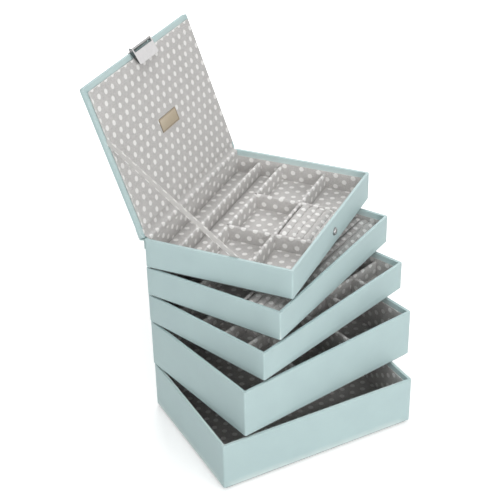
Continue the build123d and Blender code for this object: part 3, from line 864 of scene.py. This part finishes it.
def make_roll(number, left, right, middle, half, top):
    """One roll of the row, with the print laid before its top is bent."""
    roll = block("roll", (left, middle - half, FLOOR_TOP), (right, middle + half, top))
    slice_evenly(roll, "Y", middle - half, middle + half, 2 * half / ROLL_CUTS)
    slice_evenly(roll, "X", left, right, ROLL_CUT)
    slice_evenly(roll, "Z", FLOOR_TOP, top, ROLL_RISE)
    dot_x, dot_y = ROLL_DOTS[number]

    def spot(_, point):
        around = (point.y - middle) * CROWN_STRETCH
        if point.z < top - SAME:
            around += (top - point.z) * (1 if point.y > middle else -1)
        return point.x - dot_x * MM, around + dot_y * MM

    lay_cloth(roll, spot)
    for vertex in roll.data.vertices:
        point = vertex.co
        inwards = min(point.x - left, right - point.x)
        drawn = max(0, 1 - inwards / ROLL_END) ** 2
        up = max(0, (point.z - FLOOR_TOP) / (top - FLOOR_TOP))
        aside = abs(point.y - middle) / half
        soft = max(uneven(1, point.x / ROLL_WAVE, number * 5.0, 3), -0.5)
        point.z -= (ROLL_BEND * aside ** ROLL_CROWN + ROLL_END_DROP * drawn + ROLL_RIPPLE * soft) * up
        point.y += (middle - point.y) * ROLL_END_DRAW * drawn * up
    return roll


def make_rolls(tray, left, right, back):
    """A row of rolls between two places along x, from a divider to the front wall."""
    pitch = (back - SLIT - FRONT) / ROLLS
    half = (pitch - ROLL_GAP) / 2
    piece = join([
        make_roll(number, left, right, back - SLIT - pitch * (number + 0.5), half, TRAYS[tray] - ROLL_DROP)
        for number in range(ROLLS)
    ], f"{tray}_ring_rolls")
    smooth(piece, 50)
    put(piece, tray, lining, f"{tray}_rolls")


make_rolls("ring_tray", LEFT, RIGHT, ring_front_y - DIVIDER / 2)
make_rolls("top_tray", top_xs[0] + DIVIDER / 2, top_xs[1] - DIVIDER / 2, top_front_y - DIVIDER / 2)

# %% [markdown]
# ## Feet
# Each tray stands on a thin felt-covered board, a little smaller than the tray, let in between the turned
# edges of the leatherette. It leaves the dark line that shows under every tray.

# %% Feet
FOOT_EDGE = 0.6 * MM


def make_foot(tray):
    half_x, half_y = TRAY_WIDTH / 2 - FOOT_INSET, TRAY_DEPTH / 2 - FOOT_INSET
    foot = block(f"{tray}_felt_foot", (-half_x, -half_y, -FOOT), (half_x, half_y, 0))
    round_edges(foot, lambda a, b: abs(a.z - b.z) > FOOT / 2, CORNER, 5)
    round_edges(foot, lambda a, b: max(a.z, b.z) < -FOOT + SAME, FOOT_EDGE, 2)
    start_edit(foot, "FACE", looks_up)
    bpy.ops.mesh.inset(thickness=TURN_UNDER - FOOT_INSET, depth=0)
    bpy.ops.mesh.extrude_region_move(TRANSFORM_OT_translate={"value": (0, 0, SKIN)})
    end_edit()
    smooth(foot, 50)
    put(foot, tray, felt, f"{tray}_foot")


for tray in TRAYS:
    make_foot(tray)

# %% [markdown]
# ## Lid
# The lid is a board wrapped like the trays. Its skin is folded over all four edges and ends under the padded
# lining panel, which stands three millimetres proud with soft rolled edges and a slight crown. The panel's
# lower edge is rolled in too, and so leaves the dark seam round it.

# %% Lid skin
LID_TURN_IN, LID_CORNER = 14 * MM, 3.2 * MM
LID_CUT, LID_WAVE, LID_RIPPLE = 10 * MM, 50 * MM, 0.08 * MM


def make_lid_skin():
    half = TRAY_WIDTH / 2
    skin = block("lid_leatherette", (-half, 0, -LID_THICK), (half, LID_DEPTH, 0))
    start_edit(skin, "FACE", looks_up)
    bpy.ops.mesh.inset(thickness=LID_TURN_IN, depth=0)
    bpy.ops.mesh.delete(type="FACE")
    end_edit()
    round_edges(skin, lambda a, b: abs(a.z - b.z) > LID_THICK / 2, LID_CORNER, 6)

    def on_edge(point):
        return min(half - abs(point.x), point.y, LID_DEPTH - point.y) < LID_CORNER

    round_edges(skin, lambda a, b: abs(a.z - b.z) < SAME and on_edge(a) and on_edge(b), FOLD, 3)
    slice_evenly(skin, "X", -half + 2 * LID_CORNER, half - 2 * LID_CORNER, LID_CUT)
    slice_evenly(skin, "Y", 2 * LID_CORNER, LID_DEPTH - 2 * LID_CORNER, LID_CUT)
    ripple(skin, LID_WAVE, LID_RIPPLE, lambda point: point.z < -LID_THICK / 2)
    finish_modifier(skin, "SOLIDIFY", thickness=SKIN, offset=-1.0)
    smooth(skin, 50)
    put(skin, "lid", leatherette, "lid_wrap")


make_lid_skin()

# %% Lining panel of the lid
PANEL_SIDE, PANEL_FRONT, PANEL_BACK, PANEL_THICK = 4.2 * MM, 6 * MM, 10.5 * MM, 3 * MM
PANEL_SHIFT, PANEL_CUT = 0.1 * MM, 5 * MM
# Its upper and lower edges are rolled, and its face falls off by a crown along a slope
PANEL_ROLL, PANEL_TUCK = 1.1 * MM, 1.7 * MM
PANEL_CROWN, PANEL_SLOPE = 0.15 * MM, 26 * MM
PANEL_WAVE, PANEL_RIPPLE = 32 * MM, 0.15 * MM
# The print on the lid starts at these places from its left side and its hinge edge
LID_DOT_X, LID_DOT_Y = 3.535 * MM, 5.68 * MM


def lid_print(face, point):
    """The lid's cloth as one cut, folded up the sides of its panel."""
    side = max(range(3), key=lambda axis: abs(face.normal[axis]))
    across, along = ((2, 1), (0, 2), (0, 1))[side]
    return point[across] + TRAY_WIDTH / 2 - LID_DOT_X, point[along] - LID_DOT_Y


def make_lid_panel():
    half = TRAY_WIDTH / 2 - PANEL_SIDE
    left, right = PANEL_SHIFT - half, PANEL_SHIFT + half
    back, front = PANEL_BACK, LID_DEPTH - PANEL_FRONT
    panel = block("lid_padded_lining", (left, back, 0), (right, front, PANEL_THICK))
    round_edges(panel, lambda a, b: abs(a.z - b.z) > PANEL_THICK / 2, CORNER, 5)
    round_edges(panel, lambda a, b: min(a.z, b.z) > PANEL_THICK - SAME, PANEL_ROLL, 4)
    round_edges(panel, lambda a, b: max(a.z, b.z) < SAME, PANEL_TUCK, 4)
    slice_evenly(panel, "X", left + PANEL_CUT, right - PANEL_CUT, PANEL_CUT)
    slice_evenly(panel, "Y", back + PANEL_CUT, front - PANEL_CUT, PANEL_CUT)
    for vertex in panel.data.vertices:
        inwards = min(vertex.co.x - left, right - vertex.co.x, vertex.co.y - back, front - vertex.co.y)
        share = min(max(inwards, 0) / PANEL_SLOPE, 1)
        if vertex.co.z > PANEL_THICK / 2:
            wave = uneven(PANEL_RIPPLE, *(vertex.co / PANEL_WAVE)) * share
            vertex.co.z += wave - PANEL_CROWN * (1 - share) ** 2
    panel.data.update()
    lay_cloth(panel, lid_print)
    smooth(panel, 60)
    put(panel, "lid", lining, "lid_lining_panel")


make_lid_panel()

# %% [markdown]
# ## Hinge and ribbon
# No metal joins the lid: a leatherette spine is glued outside, and a strip of the dotted cotton inside.
# Both are modelled bent round the hinge, as they lie with the lid open. A flat ribbon of the same
# cotton, tucked between the lining and the skin at both ends, stops the lid when it is open. It is taut
# here, with both edges folded under and slight waves along it.

# %% A bent path beside the hinge
BEND_STEPS = 4


def lid_line(along, inward):
    """A point of the open lid, as distance behind the back wall and height above the rim."""
    behind = LID_OVERHANG - along * cos(lid_open) - inward * sin(lid_open)
    above = LID_GAP + along * sin(lid_open) - inward * cos(lid_open)
    return behind, above


def smooth_path(corners, bend, step):
    """Points along a bent line whose corners are rounded, spaced about evenly."""
    points = [Vector(corners[0])]
    for before, corner, after in zip(corners, corners[1:], corners[2:]):
        before, corner, after = Vector(before), Vector(corner), Vector(after)
        reach = min(bend, (corner - before).length / 2, (after - corner).length / 2)
        start = corner + (before - corner).normalized() * reach
        stop = corner + (after - corner).normalized() * reach
        for number in range(BEND_STEPS + 1):
            t = number / BEND_STEPS
            points.append(start * (1 - t) ** 2 + corner * 2 * t * (1 - t) + stop * t ** 2)
    points.append(Vector(corners[-1]))
    path = [points[0]]
    for point in points[1:]:
        gap = (point - path[-1]).length
        if gap < EXACT:
            continue
        count = max(1, round(gap / step))
        first = path[-1]
        path += [first.lerp(point, (number + 1) / count) for number in range(count)]
    return path


# %% Strips along the hinge
STRIP_INSET, SPINE_REACH, SPINE_DROP, SPINE_SLACK = 0.5 * MM, 13 * MM, 13 * MM, 1.3 * MM
STRIP_CLEAR, HINGE_LINING, HINGE_INSET = 0.1 * MM, 0.5 * MM, 4.6 * MM
SPINE_BEND, HINGE_BEND, PATH_STEP, STRIP_CUT = 3 * MM, 2 * MM, 1.5 * MM, 8 * MM
# The hinge's print starts this far up from the lid's own
HINGE_PRINT = 3 * MM


def make_strip(name, inset, thickness, corners, bend):
    """A strip along the hinge: a plane is added, and its edge is extruded point by point."""
    half = TRAY_WIDTH / 2 - inset
    path = [(TRAY_DEPTH / 2 + behind, SHALLOW_HEIGHT + above) for behind, above in corners]
    path = smooth_path(path, bend, PATH_STEP)
    strip = start_with(bpy.ops.mesh.primitive_plane_add, name, size=1, location=(0, 0, 0))
    first, second = path[0], path[1]
    for vertex in strip.data.vertices:
        point = first if vertex.co.y < 0 else second
        vertex.co = (half if vertex.co.x > 0 else -half, point.x, point.y)
    for point, following in zip(path[1:], path[2:]):
        start_edit(strip, "EDGE", lambda edge: all(
            (Vector((end.y, end.z)) - point).length < EXACT for end in ends(strip, edge)))
        move = (0, following.x - point.x, following.y - point.y)
        bpy.ops.mesh.extrude_region_move(TRANSFORM_OT_translate={"value": move})
        end_edit()
    slice_evenly(strip, "X", -half, half, STRIP_CUT)
    finish_modifier(strip, "SOLIDIFY", thickness=thickness, offset=0.0)
    tidy_normals(strip)
    # Unroll the strip: along the hinge, and by the length of its path up to the end on the lid
    up_to = [path[-1].y]
    for point, following in zip(reversed(path), list(reversed(path))[1:]):
        up_to.append(up_to[-1] - (following - point).length)
    up_to.reverse()

    def spot(_, point):
        place = Vector((point.y, point.z))
        nearest = min(range(len(path)), key=lambda number: (place - path[number]).length)
        return point.x + TRAY_WIDTH / 2 - LID_DOT_X, up_to[nearest] + HINGE_PRINT

    lay_cloth(strip, spot)
    smooth(strip, 60)
    return strip


def bend_with_lid(strip, finish, node):
    """Put a strip in place with the top tray, give it its finish and hide the part that it stands for."""
    strip.data.transform(places["top_tray"])
    strip.data.update()
    give_finish(strip, finish)
    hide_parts(node)
    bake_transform(strip)
    print(strip.name, "bends with the lid, with", len(strip.data.polygons), "faces")


# %% Spine and hinge lining
spine_off = SKIN / 2 + STRIP_CLEAR
spine = make_strip("lid_spine_leatherette", STRIP_INSET, SKIN, [
    (spine_off, -SPINE_DROP),
    (spine_off, -SPINE_SLACK),
    lid_line(-SPINE_SLACK, -LID_THICK),
    lid_line(0, -LID_THICK - SKIN),
    lid_line(SPINE_REACH, -LID_THICK - spine_off),
], SPINE_BEND)
lining_off = HINGE_LINING / 2 + STRIP_CLEAR
hinge_cloth = make_strip("lid_hinge_cloth", HINGE_INSET, HINGE_LINING, [
    (-RIM - lining_off, STRIP_CLEAR - TURN_DOWN),
    (-RIM - lining_off, lining_off),
    lid_line(HINGE_LINING + lining_off, lining_off),
    lid_line(PANEL_BACK - STRIP_CLEAR, lining_off),
], HINGE_BEND)
bend_with_lid(spine, leatherette, "lid_spine")
bend_with_lid(hinge_cloth, lining, "lid_hinge_lining")

# %% Ribbon
RIBBON_WIDTH, RIBBON_THICK, RIBBON_HEM, RIBBON_CLOTH = 7 * MM, 0.6 * MM, 1.2 * MM, 0.18 * MM
RIBBON_ON_LID, RIBBON_ON_WALL = 119.8 * MM, 109.9 * MM
RIBBON_STEP, RIBBON_RIPPLE, RIBBON_WAVE = 3 * MM, 0.3 * MM, 9 * MM
# Two rows of dots run just beyond the tape's edges, so only their rims show
RIBBON_START, RIBBON_PRINT, RIBBON_DRIFT = 2 * MM, 6.15 * MM, 0.85 * MM


def ribbon_section():
    """The tape's section from hem to hem, as places across its width and behind its face."""
    edge, bend = RIBBON_WIDTH / 2, (RIBBON_THICK - RIBBON_CLOTH) / 2
    half = [(edge * step / 4, 0) for step in range(4)] + [(edge - bend, 0)]
    turns = [pi * step / 4 for step in range(1, 5)]
    half += [(edge - bend + bend * sin(turn), bend * cos(turn) - bend) for turn in turns]
    half += [(edge - bend - RIBBON_HEM, -2 * bend)]
    return [(-across, behind) for across, behind in reversed(half[1:])] + half


def make_ribbon():
    x = RIM + STRIP_CLEAR - TRAY_WIDTH / 2 + RIBBON_THICK
    high = Vector(lid_line(RIBBON_ON_LID, STRIP_CLEAR))
    run = (high.x + RIBBON_ON_WALL) / high.y
    down = TURN_DOWN - STRIP_CLEAR
    low = Vector((-RIBBON_ON_WALL - down * run, -down))
    along = (high - low).normalized()
    side = Vector((-along.y, along.x))
    length = (high - low).length
    section = ribbon_section()
    across_cut = [0.0]
    for before, after in zip(section, section[1:]):
        across_cut.append(across_cut[-1] + (Vector(after) - Vector(before)).length)
    cut_width = across_cut[-1]
    columns = len(section) - 1
    ribbon = start_with(bpy.ops.mesh.primitive_grid_add, "lid_ribbon_cloth", size=1,
                        x_subdivisions=columns, y_subdivisions=round(length / RIBBON_STEP))
    layer = cloth_map(ribbon)
    cut = {}
    for vertex in ribbon.data.vertices:
        column = round((vertex.co.x + 0.5) * columns)
        share = vertex.co.y + 0.5
        across, behind = section[column]
        cut[vertex.index] = (share * length + RIBBON_START,
                             across_cut[column] - cut_width / 2 - RIBBON_PRINT + RIBBON_DRIFT * share)
        wave = uneven(RIBBON_RIPPLE, share * 5, across / RIBBON_WAVE, 2) * sin(pi * share)
        place = low + along * share * length + side * across
        out = x + behind + wave - RIBBON_CLOTH / 2
        vertex.co = (out, TRAY_DEPTH / 2 + place.x, SHALLOW_HEIGHT + place.y)
    for loop in ribbon.data.loops:
        layer.data[loop.index].uv = cut[loop.vertex_index]
    finish_modifier(ribbon, "SOLIDIFY", thickness=RIBBON_CLOTH, offset=0.0)
    tidy_normals(ribbon)
    smooth(ribbon, 60)
    print("ribbon length", round(length, 4), "m, cut", round(cut_width * 1000, 2), "mm wide")
    bend_with_lid(ribbon, ribbon_cloth, "lid_ribbon")


make_ribbon()

# %% [markdown]
# ## Clasp, plate and catch
# The clasp is a chromed pressing: a bracket riveted to the lid's edge carries a barrel, and a wedge-shaped
# flap with two cheeks swings on the pin through it. A magnet in the flap holds it to the stud on the tray's
# front wall. Chrome shows its edges, so each edge of the flap is rounded finely. The other metal pieces and
# the boards keep their solid shapes and only get their finishes.

# %% Clasp flap
CLASP_WIDTH, METAL, PIN_RADIUS = 45 * MM, 1 * MM, 1 * MM
ARM_WIDTH, ARM_LENGTH, ARM_HEEL = 2.2 * MM, 5.4 * MM, 0.4 * MM
FLAP_LENGTH, FLAP_CORNER, FLAP_FOLD, FLAP_EDGE = 20 * MM, 2.5 * MM, 0.9 * MM, 0.25 * MM
CHEEK_START, CHEEK_DROP, CHEEK_END = 3.4 * MM, 3.4 * MM, 0.5 * MM
# The band at each side of the flap that has the darker tone, a painted reflection of a dark room
DARK_REFLECTION_SIDE = 0.3 * MM
PLATE_BACK = PIN_RADIUS + 0.15 * MM
PLATE_FRONT = PLATE_BACK + METAL


def extrude_outline(name, outline, low, high):
    """A plate with a straight-sided outline in y and z, between two places along x."""
    plate = start_with(bpy.ops.mesh.primitive_circle_add, name, vertices=len(outline), radius=1,
                       fill_type="NGON")
    for vertex, (y, z) in zip(plate.data.vertices, outline):
        vertex.co = (low, y, z)
    start_edit(plate, "FACE", lambda face: True)
    bpy.ops.mesh.extrude_region_move(TRANSFORM_OT_translate={"value": (high - low, 0, 0)})
    end_edit()
    tidy_normals(plate)
    return plate


def make_flap():
    half = CLASP_WIDTH / 2
    plate = block("plate", (-half, ARM_LENGTH, PLATE_BACK), (half, FLAP_LENGTH, PLATE_FRONT))
    round_edges(plate, lambda a, b: min(a.y, b.y) > FLAP_LENGTH - SAME and abs(a.z - b.z) > METAL / 2,
                FLAP_CORNER, 6)
    turns = [-pi * step / 12 for step in range(13)]
    eye = [(PLATE_FRONT * sin(turn), PLATE_FRONT * cos(turn)) for turn in turns]
    cheek = eye + [
        (CHEEK_START, -CHEEK_DROP),
        (FLAP_LENGTH - FLAP_CORNER, PLATE_BACK - CHEEK_END),
        (FLAP_LENGTH - FLAP_CORNER, PLATE_FRONT),
    ]
    arm = eye + [
        (ARM_HEEL, -PLATE_FRONT),
        (PLATE_FRONT, 0),
        (ARM_LENGTH + METAL, PLATE_BACK),
        (ARM_LENGTH + METAL, PLATE_FRONT),
    ]
    for side in (-1, 1):
        for name, outline, outer, inner in (
            ("cheek", cheek, half, half - METAL), ("arm", arm, half - METAL, half - ARM_WIDTH),
        ):
            part = extrude_outline(name, outline, *sorted((side * outer, side * inner)))
            finish_modifier(plate, "BOOLEAN", operation="UNION", object=part, solver="EXACT")
            bpy.data.objects.remove(part, do_unlink=True)
    round_edges(plate, lambda a, b: min(a.z, b.z) > PLATE_FRONT - SAME and abs(a.x - b.x) < SAME
                and abs(a.x) > half - SAME, FLAP_FOLD, 5)
    plate.name = "clasp_flap_chrome"
    finish_modifier(plate, "BEVEL", width=FLAP_EDGE, segments=3, limit_method="ANGLE",
                    angle_limit=radians(30))
    # The sides take the dark tone, a painted reflection
    shade_faces(plate, lambda point: abs(point.x) > half - DARK_REFLECTION_SIDE)
    smooth(plate, 35)
    put(plate, "clasp", chrome, "clasp_flap")


make_flap()

# %% Metal of the bracket, rivets, pin, magnet and catch, and the boards
for name, finish in (
    ("clasp_bracket", worn_chrome), ("clasp_rivets", worn_chrome),
    ("catch_stud", worn_chrome), ("catch_washer", worn_chrome),
    ("clasp_pin", steel), ("clasp_magnet", steel),
):
    give_finish(nodes[name], finish)
    print(name, "is of", finish.name)
for tray in (*TRAYS, "lid"):
    give_finish(nodes[f"{tray}_board"], board)
    print(f"{tray}_board", "is of", board.name)

# %% Plate on the lid
PLATE_WIDTH, PLATE_HEIGHT, PLATE_THICK = 41.5 * MM, 16.8 * MM, 0.7 * MM
PLATE_RIM, PLATE_LINE, LINE_DEPTH = 1.1 * MM, 0.5 * MM, 0.2 * MM
PLATE_CORNER, PLATE_EDGE, DARK_RIM = 0.9 * MM, 0.2 * MM, 0.15 * MM


def make_plate():
    middle = LID_DEPTH / 2
    half_x, half_y = PLATE_WIDTH / 2, PLATE_HEIGHT / 2
    top = PANEL_THICK + PLATE_THICK
    plate = block("lid_bare_plate", (OFF_MIDDLE - half_x, middle - half_y, PANEL_THICK),
                  (OFF_MIDDLE + half_x, middle + half_y, top))
    start_edit(plate, "FACE", looks_up)
    bpy.ops.mesh.inset(thickness=PLATE_RIM, depth=0)
    bpy.ops.mesh.inset(thickness=PLATE_LINE, depth=-LINE_DEPTH)
    end_edit()

    def on_border(point):
        return abs(point.x - OFF_MIDDLE) > half_x - SAME or abs(point.y - middle) > half_y - SAME

    def on_line(point):
        """Whether a face is in the groove or on the outer edge."""
        inwards = min(half_x - PLATE_RIM - abs(point.x - OFF_MIDDLE),
                      half_y - PLATE_RIM - abs(point.y - middle))
        in_groove = point.z > PANEL_THICK + ABOUT and 0 < inwards < PLATE_LINE
        return in_groove or inwards < -PLATE_RIM + DARK_RIM

    round_edges(plate, lambda a, b: abs(a.z - b.z) > PLATE_THICK / 2, PLATE_CORNER, 4)
    round_edges(plate, lambda a, b: min(a.z, b.z) > top - SAME and on_border(a) and on_border(b),
                PLATE_EDGE, 2)
    shade_faces(plate, on_line)
    smooth(plate, 30)
    put(plate, "lid", plate_metal, "lid_blank_plate")


make_plate()

# %% [markdown]
# ## Studio
# The camera stands where the photograph's stood: a little above, in front and to the left, with a long lens.
# The box stands on a white floor in a white room. Five large soft lamps light it from all round, those before
# and behind it most, so its fronts and rims are a shade lighter than its left sides. Seen straight, the room
# is plain white. The floor glows towards white with distance, so that it keeps the box's shadow near the box
# and has no edge from any side.

# %% Camera
CAMERA_AT = Vector((-0.5846, -1.0336, 0.9383))
CAMERA_AZIMUTH, CAMERA_ELEVATION, CAMERA_ROLL = radians(27.81), radians(30.79), radians(-1.05)
CAMERA_LENS, SENSOR = 88.8, 36.0
look = Vector((
    cos(CAMERA_ELEVATION) * sin(CAMERA_AZIMUTH),
    cos(CAMERA_ELEVATION) * cos(CAMERA_AZIMUTH),
    -sin(CAMERA_ELEVATION),
))
level = look.cross(Vector((0, 0, 1))).normalized()
upright = level.cross(look)
right = level * cos(CAMERA_ROLL) + upright * sin(CAMERA_ROLL)
up = upright * cos(CAMERA_ROLL) - level * sin(CAMERA_ROLL)
camera_data = bpy.data.cameras.new("camera")
camera_data.lens = CAMERA_LENS
camera_data.sensor_width = SENSOR
camera_data.clip_end = 20
camera = bpy.data.objects.new("camera", camera_data)
bpy.context.scene.collection.objects.link(camera)
camera.matrix_world = Matrix((
    (right.x, up.x, -look.x, CAMERA_AT.x),
    (right.y, up.y, -look.y, CAMERA_AT.y),
    (right.z, up.z, -look.z, CAMERA_AT.z),
    (0, 0, 0, 1),
))
bpy.context.scene.camera = camera
print("camera", round(CAMERA_AT.length, 2), "m from the middle, lens", CAMERA_LENS, "mm")

# %% Floor
FLOOR_SIZE, FLOOR_DROP = 8, 0.2 * MM
# The glow near the box, and the distances from the middle where it starts to rise and where it is full
FLOOR_GLOW, FLOOR_NEAR, FLOOR_FAR = 0.35, 0.45, 1.6
PAPER_WAVES = 400.0


def straight_view(tree, otherwise, seen):
    """A value where the camera looks straight, by mirror or through glass, and another for light."""
    rays = add(tree, "ShaderNodeLightPath")
    mirrored = sum_of(tree, rays.outputs["Is Glossy Ray"], rays.outputs["Is Transmission Ray"], "MAXIMUM")
    looked = sum_of(tree, rays.outputs["Is Camera Ray"], mirrored, "MAXIMUM")
    return spread(tree, looked, 0.0, 1.0, otherwise, seen)


def make_floor_paper():
    finish, tree, shader = new_finish("white_floor", 0.9, specular=0.1)
    where = add(tree, "ShaderNodeTexCoord").outputs["Object"]
    paper = add(tree, "ShaderNodeTexNoise", Scale=PAPER_WAVES, Detail=3.0).outputs["Fac"]
    tree.links.new(tint(tree, paper, (0.86, 0.86, 0.86), (0.9, 0.9, 0.9)), shader.inputs["Base Color"])
    shader.inputs["Emission Color"].default_value = (1, 1, 1, 1)
    away = add(tree, "ShaderNodeVectorMath", {"operation": "LENGTH"}, s0=where).outputs["Value"]
    glow = spread(tree, away, FLOOR_NEAR, FLOOR_FAR, FLOOR_GLOW, 1.0)
    tree.links.new(sum_of(tree, straight_view(tree, 0.0, 1.0), glow, "MULTIPLY"),
                   shader.inputs["Emission Strength"])
    return finish


floor = start_with(bpy.ops.mesh.primitive_plane_add, "floor", size=FLOOR_SIZE, location=(0, 0, -FLOOR_DROP))
give_finish(floor, make_floor_paper())
print(floor.name, "lies", round(FLOOR_DROP / MM, 1), "mm under the box")

# %% Room and lamps
ROOM_LIGHT = 0.17
world = bpy.data.worlds.new("room")
bpy.context.scene.world = world
world.use_nodes = True
room = world.node_tree
background = room.nodes["Background"]
background.inputs["Color"].default_value = (1, 1, 1, 1)
room.links.new(straight_view(room, ROOM_LIGHT, 1.0), background.inputs["Strength"])


def add_lamp(name, at, target, size, power):
    """A large soft lamp that faces a point."""
    data = bpy.data.lights.new(name, "AREA")
    data.shape = "SQUARE"
    data.size = size
    data.energy = power
    lamp = bpy.data.objects.new(name, data)
    bpy.context.scene.collection.objects.link(lamp)
    lamp.location = at
    lamp.rotation_euler = (Vector(target) - Vector(at)).to_track_quat("-Z", "Y").to_euler()
    print(name, power, "W")


add_lamp("front_lamp", (0.7, -2.0, 1.1), target=(0, 0, 0.15), size=1.3, power=21.5)
add_lamp("back_lamp", (0.9, 1.6, 1.7), target=(0, 0, 0.2), size=1.3, power=27)
add_lamp("front_left_lamp", (-1.0, -1.8, 1.0), target=(0, 0, 0.2), size=1.3, power=10.6)
add_lamp("left_lamp", (-1.9, -0.5, 1.1), target=(0, 0, 0.2), size=1.3, power=7.5)
add_lamp("top_lamp", (-0.2, -0.1, 2.3), target=(0, 0, 0.2), size=1.5, power=14.6)
bpy.context.scene.view_settings.view_transform = "Standard"

# %% End
print("the scene is built")
